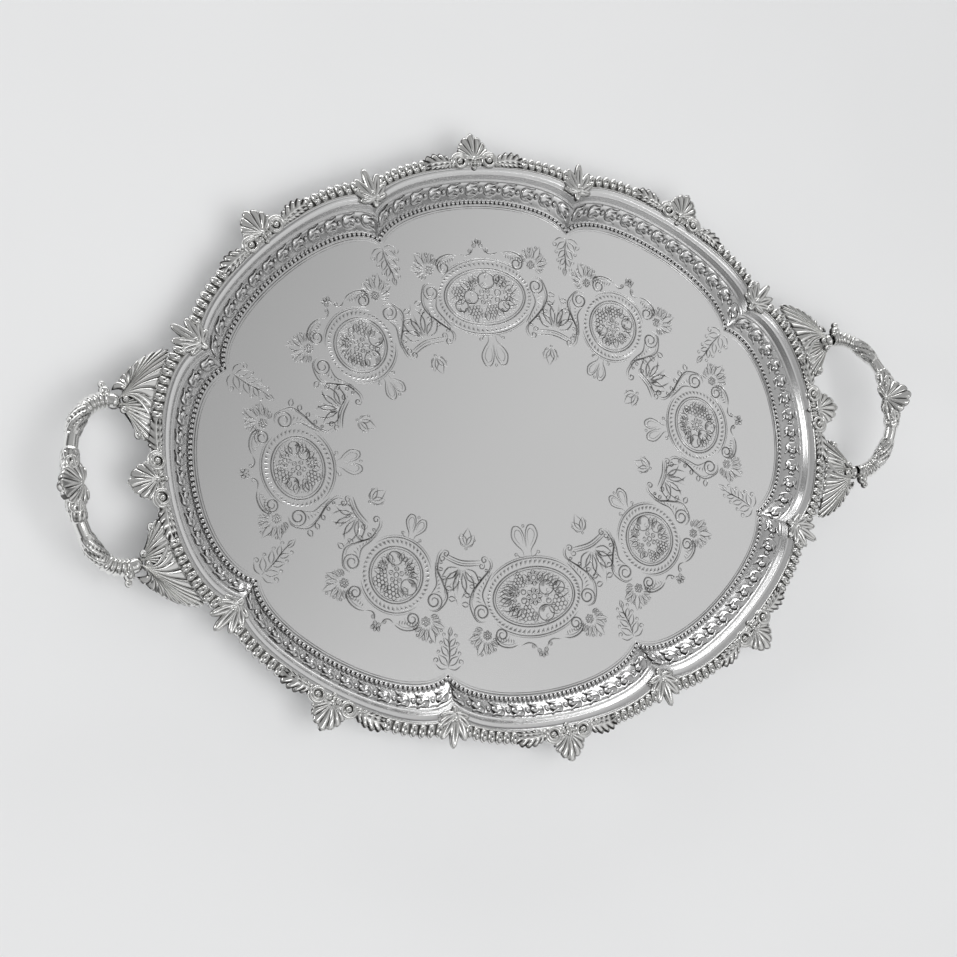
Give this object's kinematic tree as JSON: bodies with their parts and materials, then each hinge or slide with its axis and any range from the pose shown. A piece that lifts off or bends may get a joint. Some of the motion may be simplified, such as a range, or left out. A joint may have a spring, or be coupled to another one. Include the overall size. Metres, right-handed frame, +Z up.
{
  "type": "two-handled serving tray",
  "caption": "Lobed oval two-handled silver tray with a beaded well edge, chased band, cast shell and leaf border, and curved scroll handles on a raised foot.",
  "frame": {"origin": "centre of the tray in plan, on the surface that its feet stand on", "axes": "+X towards the right handle, along the length; +Y towards the back; +Z up out of the tray"},
  "size_m": [0.76, 0.5246, 0.0707],
  "materials": {
    "polished_silver": "hand-polished silver sheet, bright, with fine hairline wear",
    "cast_silver": "cast and chased silver, polished high spots, dark tarnish in the recesses",
    "handle_silver": "cast silver, worn bright where it is held"
  },
  "bodies": {
    "root": {"tray_body": "polished_silver", "bead_moulding": "polished_silver", "border_casting_right": "cast_silver", "border_casting_back_right": "cast_silver", "border_casting_back": "cast_silver", "border_casting_back_left": "cast_silver", "border_casting_left": "cast_silver", "border_casting_front_left": "cast_silver", "border_casting_front": "cast_silver", "border_casting_front_right": "cast_silver", "cusp_shell_right_front": "cast_silver", "cusp_shell_right_back": "cast_silver", "cusp_shell_back_right": "cast_silver", "cusp_shell_back_left": "cast_silver", "cusp_shell_left_back": "cast_silver", "cusp_shell_left_front": "cast_silver", "cusp_shell_front_left": "cast_silver", "cusp_shell_front_right": "cast_silver", "handle_right_arm_back": "handle_silver", "handle_right_arm_front": "handle_silver", "handle_right_shell": "handle_silver", "handle_left_arm_back": "handle_silver", "handle_left_arm_front": "handle_silver", "handle_left_shell": "handle_silver", "foot_back_right": "cast_silver", "foot_back_left": "cast_silver", "foot_front_left": "cast_silver", "foot_front_right": "cast_silver"}
  },
  "joints": []
}
